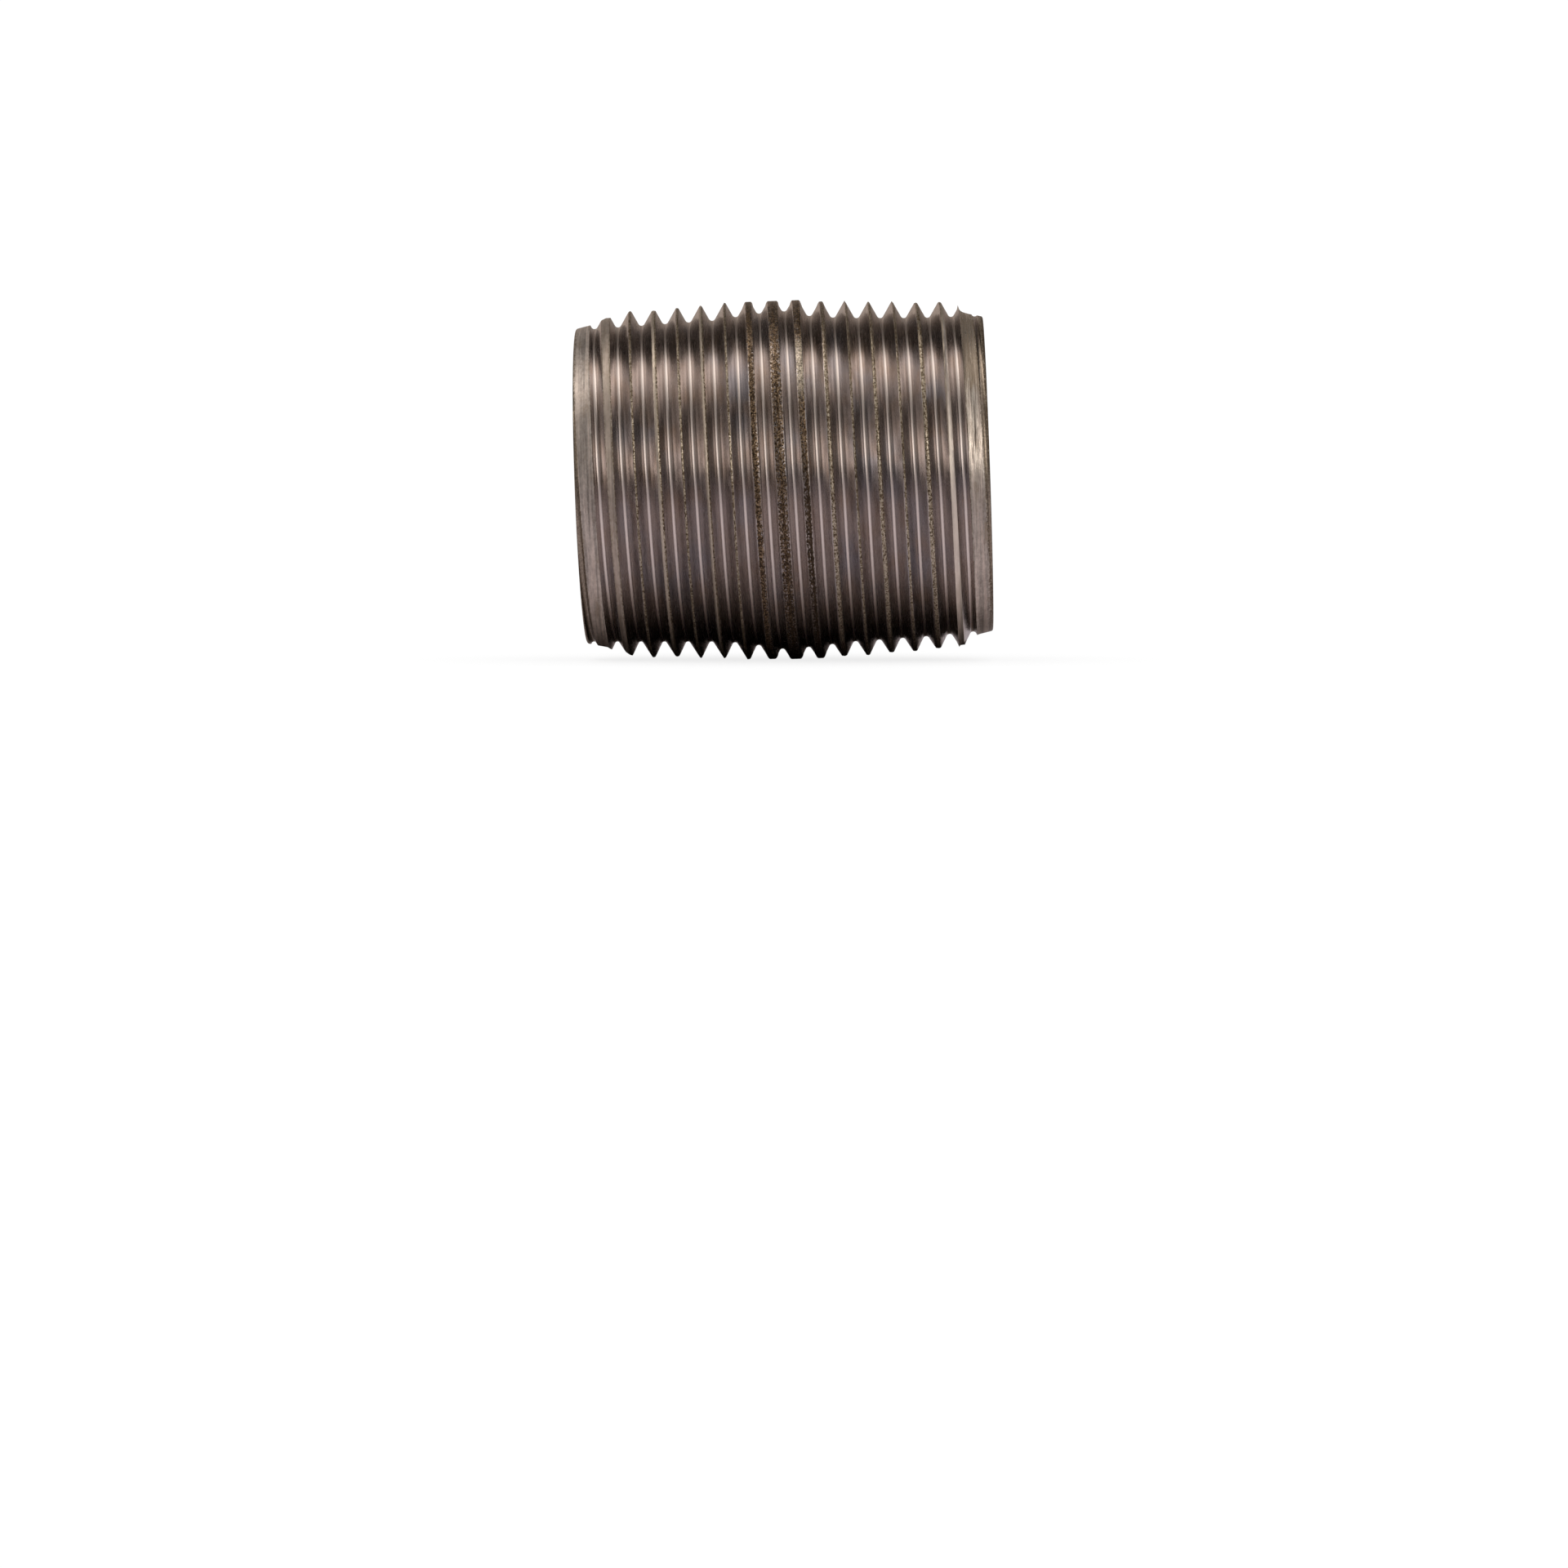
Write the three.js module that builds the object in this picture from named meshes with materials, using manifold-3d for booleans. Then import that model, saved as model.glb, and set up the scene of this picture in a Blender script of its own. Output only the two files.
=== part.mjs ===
// A 1 inch close pipe nipple: one short piece of steel pipe with a right-hand tapered pipe thread
// (1-11.5, 60 degree form, taper 1 in 16) cut from each end until the two threads meet in the middle.
// Millimetres. X is the pipe's own axis, +Z is up, and the origin is the middle of the bore.

import * as THREE from "three";
import { ParametricGeometry } from "three/addons/geometries/ParametricGeometry.js";
import { mergeVertices } from "three/addons/utils/BufferGeometryUtils.js";
import Module from "manifold-3d";

// ---- Driving dimensions -------------------------------------------------------------------------

const LENGTH = 38.1; // close nipple of the 1 inch size, end face to end face
const THREADS_PER_INCH = 11.5;
const BORE_RADIUS = 13.32; // schedule 40 wall
const BORE_BREAK = 0.25; // reamed edge where the bore meets an end face

// The turned outside of the pipe, as radii at distances from the nearer end face.
const LIP_RADIUS = 14.83; // outer edge of the flat end face
const LIP_LENGTH = 2.0; // shallow lead-in cone
const LIP_TOP_RADIUS = 15.32;
const SHOULDER_END = 4.6; // steeper cone that runs out above the first whole crest
const SHOULDER_TOP_RADIUS = 17.1;
const CREST_TAPER = 0.052; // rise of the crest line for each millimetre from the end
const CREST_RADIUS_AT_END = 15.98; // crest line carried back to the end face
const PIPE_RADIUS = 16.85; // rolled outside of the pipe, left on the middle crests

// The thread groove, as root radii at distances from the nearer end face.
const ROOT_LINE = [
  { distance: -6, radius: 14.58 }, // level beyond the end face, where there is no metal
  { distance: 0, radius: 14.58 },
  { distance: 13.9, radius: 15.06 }, // last full-depth turn
  { distance: 19.05, radius: 15.8 }, // vanish cone of the die, as far as the middle of the nipple
];
const ROOT_FLAT = 0.2; // width of the groove bottom
const FLANK_ANGLE = 30; // each flank, from square to the axis
const LEAD_IN = 3; // how far outside each end face the helix starts

// Where each thread's groove crosses the top of the nipple, measured from the middle. The ends are
// threaded one after the other, so the two helices don't line up.
const LEFT_GROOVE_AT_TOP = 0.338;
const RIGHT_GROOVE_AT_TOP = 0.626;
const MEETING_LENGTH = 3; // stretch in the middle over which one groove runs into the other

const SIDES = 48; // facets round the pipe, and steps in each turn of a groove

// ---- Worked out from the above ------------------------------------------------------------------

const PITCH = 25.4 / THREADS_PER_INCH;
const HALF_LENGTH = LENGTH / 2;
const FLANK_SLOPE = Math.tan(THREE.MathUtils.degToRad(FLANK_ANGLE));
const STEP = PITCH / SIDES;
const STEPS_TO_TOP = SIDES / 4;

const distanceFromEnd = (x) => HALF_LENGTH - Math.abs(x);

const crestRadius = (x) => {
  return Math.min(PIPE_RADIUS, CREST_RADIUS_AT_END + CREST_TAPER * distanceFromEnd(x));
};

const rootRadius = (x) => {
  const distance = Math.min(distanceFromEnd(x), HALF_LENGTH);
  const far = ROOT_LINE.findIndex((point) => point.distance >= distance);
  const [from, to] = [ROOT_LINE[far - 1], ROOT_LINE[far]];
  const share = (distance - from.distance) / (to.distance - from.distance);
  return THREE.MathUtils.lerp(from.radius, to.radius, share);
};

// ---- Solids -------------------------------------------------------------------------------------

const wasm = await Module();
wasm.setup();

// A closed three.js geometry as a solid: shared corners merged, triangles without area dropped.
function solidFrom(geometry) {
  const shape = geometry.clone();
  shape.deleteAttribute("normal");
  shape.deleteAttribute("uv");
  const merged = mergeVertices(shape, 1e-4);
  const triVerts = [];
  const index = merged.index.array;
  for (let i = 0; i < index.length; i += 3) {
    const [a, b, c] = index.slice(i, i + 3);
    if (a !== b && b !== c && c !== a) {
      triVerts.push(a, b, c);
    }
  }
  return new wasm.Manifold(
    new wasm.Mesh({
      numProp: 3,
      vertProperties: merged.attributes.position.array,
      triVerts: new Uint32Array(triVerts),
    }),
  );
}

function geometryFrom(solid) {
  const mesh = solid.getMesh();
  const geometry = new THREE.BufferGeometry();
  geometry.setAttribute("position", new THREE.BufferAttribute(mesh.vertProperties, 3));
  geometry.setIndex(new THREE.BufferAttribute(mesh.triVerts, 1));
  geometry.computeVertexNormals();
  return geometry;
}

// The pipe before threading: bore, end faces and the turned cones, spun about the X axis. Between
// the cones it stands clear of the thread, whose crests are the finished outside.
function turnedPipe() {
  const outside = [
    [0, LIP_RADIUS],
    [LIP_LENGTH, LIP_TOP_RADIUS],
    [SHOULDER_END, SHOULDER_TOP_RADIUS],
  ];
  const bore = [
    [BORE_BREAK, BORE_RADIUS],
    [0, BORE_RADIUS + BORE_BREAK],
  ];
  const rightHalf = [...bore, ...outside].map(([distance, radius]) => {
    return new THREE.Vector2(radius, HALF_LENGTH - distance);
  });
  const leftHalf = rightHalf.map((point) => new THREE.Vector2(point.x, -point.y)).reverse();
  const profile = [...leftHalf, ...rightHalf, leftHalf[0]].reverse();
  const geometry = new THREE.LatheGeometry(profile, SIDES);
  geometry.rotateZ(-Math.PI / 2);
  return solidFrom(geometry);
}

// A solid rod with the thread along its whole length: one sheet swept along the right-hand helix,
// a turn's last corner being the next turn's first, and closed on the axis beyond each end face.
function threadedRod() {
  const rodEnd = HALF_LENGTH + LEAD_IN;
  const first = Math.ceil(-rodEnd / STEP);
  const last = Math.floor(rodEnd / STEP);

  // The middle of the groove at one step of the helix.
  const grooveAt = (step) => {
    const plain = step * STEP;
    const share = THREE.MathUtils.smoothstep(plain, -MEETING_LENGTH / 2, MEETING_LENGTH / 2);
    return plain + THREE.MathUtils.lerp(LEFT_GROOVE_AT_TOP, RIGHT_GROOVE_AT_TOP, share);
  };

  // Corners of a turn's section: crest, groove bottom, and the crest again, as [x, radius].
  const corner = (step, index) => {
    if (index === 4) {
      return corner(step + SIDES, 0);
    }
    const middle = grooveAt(step);
    const root = rootRadius(middle);
    if (index === 2 || index === 3) {
      const side = index === 2 ? -1 : 1;
      return [middle + (side * ROOT_FLAT) / 2, root];
    }
    const groove = index === 0 ? grooveAt(step - SIDES) : middle;
    const side = index === 0 ? 1 : -1;
    const depth = crestRadius(groove) - rootRadius(groove);
    const x = groove + side * (ROOT_FLAT / 2 + FLANK_SLOPE * depth);
    return [x, crestRadius(groove)];
  };

  const surface = (u, v, target) => {
    const step = Math.round(THREE.MathUtils.lerp(first - 1, last + 1, v));
    const index = 4 - Math.round(u * 4);
    if (step < first || (index === 0 && step < first + SIDES)) {
      target.set(-rodEnd - PITCH, 0, 0);
      return;
    }
    if (step > last || (index === 4 && step > last - SIDES)) {
      target.set(rodEnd + PITCH, 0, 0);
      return;
    }
    const [x, radius] = corner(step, index);
    const angle = (2 * Math.PI * (step + STEPS_TO_TOP)) / SIDES;
    target.set(x, radius * Math.cos(angle), radius * Math.sin(angle));
  };
  return solidFrom(new ParametricGeometry(surface, 4, last - first + 2));
}

// ---- The part -----------------------------------------------------------------------------------

const threaded = turnedPipe().intersect(threadedRod());

const steel = new THREE.MeshStandardMaterial({
  color: 0x5c5454, // dark oiled steel
  roughness: 0.38,
  metalness: 0.9,
});

const nipple = new THREE.Mesh(geometryFrom(threaded), steel);
nipple.name = "nipple_body";

const part = new THREE.Group();
part.name = "threaded_pipe_nipple";
part.add(nipple);

export default part;
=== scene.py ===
"""A 1 inch close pipe nipple in black steel, threaded from both ends to the middle.

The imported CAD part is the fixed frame. One finely meshed body stands for it: a turned and bored
blank, cut to the solid rod that carries the thread, so that the grooves run out through the turned
ends as they do on the real thing. Lengths in this script are millimetres until a mesh is made.
"""

import math

import bpy
import numpy as np
from mathutils import Matrix, Vector


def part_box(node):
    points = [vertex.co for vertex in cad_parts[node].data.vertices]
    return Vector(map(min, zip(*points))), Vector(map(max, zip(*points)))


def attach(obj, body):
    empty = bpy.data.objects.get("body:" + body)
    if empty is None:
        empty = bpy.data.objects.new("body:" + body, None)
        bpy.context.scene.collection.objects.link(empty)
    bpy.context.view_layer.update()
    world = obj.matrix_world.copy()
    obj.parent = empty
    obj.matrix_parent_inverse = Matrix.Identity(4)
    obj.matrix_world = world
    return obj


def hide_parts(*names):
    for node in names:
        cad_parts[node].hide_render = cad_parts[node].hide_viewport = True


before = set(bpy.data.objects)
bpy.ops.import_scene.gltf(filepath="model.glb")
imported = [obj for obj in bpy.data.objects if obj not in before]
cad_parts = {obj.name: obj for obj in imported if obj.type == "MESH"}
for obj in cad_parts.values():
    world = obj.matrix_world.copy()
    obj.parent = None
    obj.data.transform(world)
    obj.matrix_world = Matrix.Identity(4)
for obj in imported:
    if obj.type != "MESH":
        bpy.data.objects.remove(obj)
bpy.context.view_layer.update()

# ---- Dimensions ------------------------------------------------------------------------------------

MM = 0.001
CLEARANCE = 0.01  # kept inside the CAD part's outside
HALF_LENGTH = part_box("nipple_body")[1].x / MM
PIPE_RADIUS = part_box("nipple_body")[1].z / MM - CLEARANCE
THREADS_PER_INCH = 11.5
PITCH = 25.4 / THREADS_PER_INCH
BORE_RADIUS = 13.32
BEAD_HEIGHT = 0.22  # weld bead along the bore
BEAD_WIDTH = 1.6
BEAD_TURN = 0.11  # where it lies, in turns from +Y towards +Z

# Where each thread's groove crosses the top of the nipple, and the stretch over which the two meet.
LEFT_GROOVE_AT_TOP = 0.338
RIGHT_GROOVE_AT_TOP = 0.626
MEETING_LENGTH = 3.0
LEFT_TO_RIGHT = (-4.0, 4.0)  # x over which everything else changes from the left thread to the right one

# Bottom of each groove as (distance from the end face, radius): the taper, then the die's vanish cone.
LEFT_ROOT_LINE = [(0, 14.58), (13.2, 15.04), (HALF_LENGTH, 15.88)]
RIGHT_ROOT_LINE = [(0, 14.58), (13.2, 15.04), (17.2, 15.42), (HALF_LENGTH, 15.88)]
ROOT_RAISED = 0.02
RIGHT_ROOT_RAISED = 0.10  # on the right thread, above the left one

# Each thread was cut a little off the pipe's centre line. These are heights along +Z.
LEFT_ROOT_OFF_CENTRE = 0.11
RIGHT_ROOT_OFF_CENTRE = -0.03
RIGHT_ROOT_DRIFT = -0.15  # added between these distances from the end face
RIGHT_ROOT_DRIFTS = (1, 7)
LEFT_CREST_OFF_CENTRE = 0.08
RIGHT_CREST_OFF_CENTRE = -0.05

CREST_AT_END = 15.93  # crest line carried back to the end face
RIGHT_CREST_RAISED = 0.05
CREST_TAPER = 0.052  # rise of the crest line for each millimetre from the end
CREST_WANDER = 0.05  # slow rise and fall of the crest line
SHARP_CREST = 0.04  # how far a sharp crest and a broad one lie above the crest line
BROAD_CREST = -0.06
BROAD_PHASE = 0.75  # turns from the top of the nipple to where a left crest is broadest
CUT_TEAR = 0.018  # roughness of a cut crest and of a middle one
SKIN_TEAR = 0.004
MIDDLE_CRESTS = (3.4, 4.6)  # |x| over which the middle crests, with the pipe's skin, give way to cut ones
SKIN_DEPTH = 0.03  # how far the middle crests lie below the pipe's outside

FLANK_ANGLE = math.radians(28.5)
FLANK_HOLLOW = 0.03  # depth of the dip half-way up a flank
FLANK_SLOPE = math.tan(FLANK_ANGLE)
ROOT_FILLET = 0.32
FILLET_REACH = ROOT_FILLET * math.cos(FLANK_ANGLE)  # from the groove's middle to where a flank begins
FILLET_RISE = ROOT_FILLET * (1 - math.sin(FLANK_ANGLE))
FILLET_TURNS = (-42, -21, 0, 21, 42)  # corners of the fillet, in degrees from its bottom
CREST_LEAN = 0.05  # how far each crest leans to the right of the middle between its two grooves
LEAST_CREST = 0.012  # half the width of the sharpest crest

# A crest's edge has three corners: one on the crest, one half-way and one on the flank.
CREST_EDGE = 0.05
CREST_DROP = 0.03  # of the whole edge, outside the middle
HALF_WAY_IN, HALF_WAY_DROP = 0.012, 0.02
FLANK_OUT, FLANK_DROP = 0.035, 0.085
RAGGED = 0.02  # how far the edge strays to and fro

# The middle crests' edges are rounder than the others by a share that is less at the top of the nipple,
# and fuller by a width that is greater there.
ROUNDER, LESS_AT_TOP = 1.05, 0.25
FULLER, MORE_AT_TOP = 0.070, 0.020

STEPS = 288  # steps round the nipple
SURFACES = ["thread", "lip", "face", "bore"]
LEAD_IN = 3.0  # how far the rod reaches beyond each end face
BORE_RINGS = [1.5 * k for k in range(1, 13)]  # distances from an end face of the mesh's rings in the bore
BORE_BREAK = [(0.30, 0.0), (0.10, 0.07), (0.0, 0.24)]  # (distance from the end face, above the bore)
FACE_RADII = (13.9, 14.3)  # the mesh's rings in an end face
FACE_MIDDLE = 14.1  # radius of the middle of the face's flat ring

# Turned outside of each end as (distance from the end face, radius), and how far towards +Z it was
# turned off centre.
LEFT_OUTSIDE = [
    (0.0, 14.62),
    (0.03, 14.70),
    (0.12, 14.78),
    (0.60, 14.90),
    (1.20, 15.03),
    (1.90, 15.18),
    (2.10, 15.32),
    (2.50, 15.53),
    (2.85, 15.68),
    (3.60, 15.70),
    (3.95, 15.96),
    (4.40, 16.12),
    (5.10, 16.55),
    (5.60, 17.60),
]
LEFT_OFF_CENTRE = 0.08
RIGHT_OUTSIDE = [
    (0.0, 14.58),
    (0.03, 14.68),
    (0.12, 14.75),
    (0.45, 14.83),
    (1.25, 15.00),
    (1.85, 15.20),
    (2.05, 15.33),
    (2.30, 15.62),
    (2.75, 15.95),
    (3.10, 15.99),
    (3.50, 16.04),
    (3.70, 16.12),
    (3.85, 16.32),
    (4.10, 16.55),
    (4.80, 16.90),
    (5.40, 17.60),
]
RIGHT_OFF_CENTRE = -0.06

NOISE_KNOTS = 4096  # random values before the noise repeats
FIRST_KNOT = 1000  # the one at position 0


def smoothstep(value, low, high):
    share = np.clip((np.asarray(value, float) - low) / (high - low), 0, 1)
    return share * share * (3 - 2 * share)


def between(left, right, share):
    return left + (right - left) * share


def smooth_noise(position, spacing, seed):
    """Smooth seeded noise from -1 to 1 along one coordinate, with a new value every `spacing`."""
    knots = np.random.default_rng(seed).uniform(-1, 1, NOISE_KNOTS)
    at = np.asarray(position, float) / spacing + FIRST_KNOT
    low = np.floor(at).astype(int)
    share = smoothstep(at - low, 0, 1)
    return knots[low % NOISE_KNOTS] * (1 - share) + knots[(low + 1) % NOISE_KNOTS] * share


# ---- The thread --------------------------------------------------------------------------------------
# Both helices share one step count: step 0 is the top of the nipple, and a turn is STEPS steps.


def groove_centre(step):
    plain = np.asarray(step, float) * PITCH / STEPS
    share = smoothstep(plain, -MEETING_LENGTH / 2, MEETING_LENGTH / 2)
    return plain + between(LEFT_GROOVE_AT_TOP, RIGHT_GROOVE_AT_TOP, share)


def right_share(x):
    """0 on the left thread and 1 on the right one."""
    return smoothstep(x, *LEFT_TO_RIGHT)


def root_radius(x, angle):
    """Bottom of the groove."""
    distance = HALF_LENGTH - np.abs(x)
    share = right_share(x)
    left, right = (np.interp(distance, *zip(*line)) for line in (LEFT_ROOT_LINE, RIGHT_ROOT_LINE))
    radius = between(left, right, share) + ROOT_RAISED + RIGHT_ROOT_RAISED * share
    right_off_centre = RIGHT_ROOT_OFF_CENTRE + RIGHT_ROOT_DRIFT * smoothstep(distance, *RIGHT_ROOT_DRIFTS)
    return radius + between(LEFT_ROOT_OFF_CENTRE, right_off_centre, share) * np.sin(angle)


def crest_breadth(x, step):
    """0 where the die left a sharp crest and 1 where it left a broad one. They take turns."""
    parity = np.cos(math.pi * (step / STEPS - BROAD_PHASE))
    return 0.5 + 0.5 * parity * (1 - 2 * right_share(x))


def crest_radius(x, angle, step):
    """Top of the thread: the pipe's outside in the middle, sheared off by the die towards the ends."""
    distance = HALF_LENGTH - np.abs(x)
    share = right_share(x)
    radius = CREST_AT_END + RIGHT_CREST_RAISED * share + CREST_TAPER * distance
    radius = radius + between(LEFT_CREST_OFF_CENTRE, RIGHT_CREST_OFF_CENTRE, share) * np.sin(angle)
    radius = radius + CREST_WANDER * smooth_noise(step / STEPS, 0.9, 11)
    radius = radius + between(SHARP_CREST, BROAD_CREST, crest_breadth(x, step))
    radius = np.minimum(radius, PIPE_RADIUS - SKIN_DEPTH)
    tear = smooth_noise(step, 2.0, 12) + 0.7 * smooth_noise(step, 1.0, 13)
    depth = between(SKIN_TEAR, CUT_TEAR, smoothstep(np.abs(x), *MIDDLE_CRESTS))
    return np.minimum(radius + depth * tear, PIPE_RADIUS)


def thread_rows(step):
    """One turn's section at each step, as (x, radius) rows from one crest's middle to the next's."""
    step = np.asarray(step, float)
    angle = 2 * math.pi * step / STEPS + math.pi / 2
    before, middle, after = (groove_centre(step + turn * STEPS) for turn in (-1, 0, 1))
    root = root_radius(middle, angle)
    crest_left, crest_right = (before + middle) / 2, (middle + after) / 2

    def crest(x, half_width, crest_step):
        room = FILLET_RISE + (half_width - CREST_EDGE - LEAST_CREST - FILLET_REACH) / FLANK_SLOPE
        return np.minimum(crest_radius(x, angle, crest_step), root + room)

    def flank(top, side, seed, crest_x):
        """From the crest's edge down to the fillet."""
        depth = top - root
        edge = top - CREST_DROP * smoothstep(np.abs(crest_x), *MIDDLE_CRESTS)
        foot = FILLET_REACH + (depth - FILLET_RISE) * FLANK_SLOPE
        room = np.abs(crest_x - middle) - foot - LEAST_CREST
        unworn = smoothstep(np.abs(crest_x), *reversed(MIDDLE_CRESTS))
        roundness = 1 + unworn * (ROUNDER - LESS_AT_TOP * np.sin(angle))
        roundness = np.minimum(roundness, np.maximum(room / CREST_EDGE, 1))
        foot = foot + side * CREST_LEAN
        shoulder = foot - unworn * (FULLER + MORE_AT_TOP * np.sin(angle))
        ragged = RAGGED * smooth_noise(step, 1.5, seed)
        corners = [
            (shoulder + CREST_EDGE * roundness + ragged, edge),
            (shoulder + HALF_WAY_IN * roundness + ragged, edge - HALF_WAY_DROP * roundness),
            (shoulder - FLANK_OUT * roundness, edge - FLANK_DROP * roundness),
            ((FILLET_REACH + foot) / 2, root + (depth + FILLET_RISE) / 2 - FLANK_HOLLOW),
            (FILLET_REACH, root + FILLET_RISE),
        ]
        return [(middle + side * out, radius) for out, radius in corners]

    left_top = crest(crest_left, middle - crest_left, step - STEPS / 2)
    right_top = crest(crest_right, crest_right - middle, step + STEPS / 2)
    rows = [(crest_left + CREST_LEAN, left_top)]
    rows += flank(left_top, -1, 21, crest_left)
    for turn in FILLET_TURNS:
        tilt = math.radians(turn)
        fillet_x = middle + ROOT_FILLET * math.sin(tilt)
        rows.append((fillet_x, root + ROOT_FILLET * (1 - math.cos(tilt))))
    rows += reversed(flank(right_top, 1, 22, crest_right))
    return angle, rows


def mesh_from(name, vertices, faces, material_indices=None):
    mesh = bpy.data.meshes.new(name)
    mesh.from_pydata((np.asarray(vertices) * MM).tolist(), [], faces)
    if material_indices is not None:
        mesh.polygons.foreach_set("material_index", np.asarray(material_indices, np.int32))
    mesh.update()
    piece = bpy.data.objects.new(name, mesh)
    bpy.context.scene.collection.objects.link(piece)
    return piece


def turn_outwards(vertices, faces):
    """Flips every face if the closed mesh is inside out."""
    corners = np.array([face[:3] for face in faces])
    a, b, c = (vertices[corners[:, k]] for k in range(3))
    if np.einsum("ij,ij->", a, np.cross(b, c)) < 0:
        return [face[::-1] for face in faces]
    return faces


def threaded_rod():
    """The solid rod with the thread, longer than the nipple and closed on its axis at both ends."""
    rod_end = HALF_LENGTH + LEAD_IN
    first = -round(rod_end / PITCH * STEPS)
    last = round(rod_end / PITCH * STEPS)
    steps = np.arange(first, last + 1)
    angle, rows = thread_rows(steps)
    grid = np.zeros((len(steps), len(rows), 3))
    for column, (x, radius) in enumerate(rows):
        grid[:, column, 0] = x
        grid[:, column, 1] = radius * np.cos(angle)
        grid[:, column, 2] = radius * np.sin(angle)
    width = len(rows)
    vertices = grid.reshape(-1, 3)
    left_tip, right_tip = len(vertices), len(vertices) + 1
    vertices = np.vstack([vertices, [[-rod_end - PITCH, 0, 0], [rod_end + PITCH, 0, 0]]])

    def corner(step, column):
        if column == width:
            step, column = step + STEPS, 0
        if step < 0 or (column == 0 and step < STEPS):
            return left_tip
        if step >= len(steps):
            return right_tip
        return step * width + column

    faces = []
    for step in range(-1, len(steps)):
        for column in range(width):
            ring = [
                corner(step, column),
                corner(step + 1, column),
                corner(step + 1, column + 1),
                corner(step, column + 1),
            ]
            face = [v for k, v in enumerate(ring) if v != ring[k - 1]]
            if len(set(face)) > 2:
                faces.append(face)
    return vertices, turn_outwards(vertices, faces)


def drawn_finer(outline, spacing=0.25):
    """The same outline with points no further apart than `spacing`."""
    fine = [outline[0]]
    for start, end in zip(outline, outline[1:]):
        parts = math.ceil(math.dist(start, end) / spacing)
        for k in range(1, parts + 1):
            fine.append(tuple(a + (b - a) * k / parts for a, b in zip(start, end, strict=True)))
    return fine


def blank_outline():
    """The blank's closed outline: its (x, radius) points, how far each is off centre, and each surface."""
    inside = [(distance, BORE_RADIUS) for distance in BORE_RINGS]
    bore_break = [(distance, BORE_RADIUS + rise) for distance, rise in BORE_BREAK]
    face = [(0.0, radius) for radius in FACE_RADII]
    left_outside, right_outside = drawn_finer(LEFT_OUTSIDE), drawn_finer(RIGHT_OUTSIDE)
    left = [*reversed(inside), *bore_break, *face, *left_outside]
    right = [*reversed(inside), *bore_break, *face, *right_outside]
    points = [(distance - HALF_LENGTH, radius) for distance, radius in left]
    points += [(HALF_LENGTH - distance, radius) for distance, radius in reversed(right)]
    centred = [0.0] * (len(left) - len(left_outside))
    off_centre = [*centred, *([LEFT_OFF_CENTRE] * len(left_outside))]
    off_centre += [*([RIGHT_OFF_CENTRE] * len(right_outside)), *centred]
    in_bore = len(inside) + len(bore_break)
    in_face = len(face) + 1
    kinds = ["bore"] * (in_bore - 1) + ["face"] * in_face + ["lip"] * len(left_outside)
    kinds += ["lip"] * (len(right_outside) - 1) + ["face"] * in_face + ["bore"] * in_bore
    return points, off_centre, kinds


def turned_blank():
    """The bored pipe with its turned ends. It stands clear of the thread between them."""
    points, off_centre, kinds = blank_outline()
    ring_x, ring_radius = np.array(points).T
    angle = 2 * math.pi * np.arange(STEPS) / STEPS
    radius = ring_radius[:, None] + np.array(off_centre)[:, None] * np.sin(angle)[None, :]
    from_bead = (angle - 2 * math.pi * BEAD_TURN) * BORE_RADIUS / (BEAD_WIDTH / 2)
    bead = BEAD_HEIGHT * np.exp(-(from_bead**2))
    in_bore = np.isclose(ring_radius, BORE_RADIUS)
    wander = 1 + 0.25 * smooth_noise(ring_x, 1.3, 41)
    radius = radius - in_bore[:, None] * wander[:, None] * bead[None, :]
    grid = np.zeros((len(points), STEPS, 3))
    grid[:, :, 0] = ring_x[:, None]
    grid[:, :, 1] = radius * np.cos(angle)[None, :]
    grid[:, :, 2] = radius * np.sin(angle)[None, :]
    vertices = grid.reshape(-1, 3)
    faces = []
    indices = []
    for ring, kind in enumerate(kinds):
        here = ring * STEPS
        following = (ring + 1) % len(points) * STEPS
        for k in range(STEPS):
            after = (k + 1) % STEPS
            faces.append([here + k, following + k, following + after, here + after])
            indices.append(SURFACES.index(kind))
    return vertices, turn_outwards(vertices, faces), indices


rod_vertices, rod_faces = threaded_rod()
rod = mesh_from("rod", rod_vertices, rod_faces)
blank_vertices, blank_faces, blank_indices = turned_blank()
blank = mesh_from("nipple_steel", blank_vertices, blank_faces, blank_indices)


# ---- Materials ---------------------------------------------------------------------------------------


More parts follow.
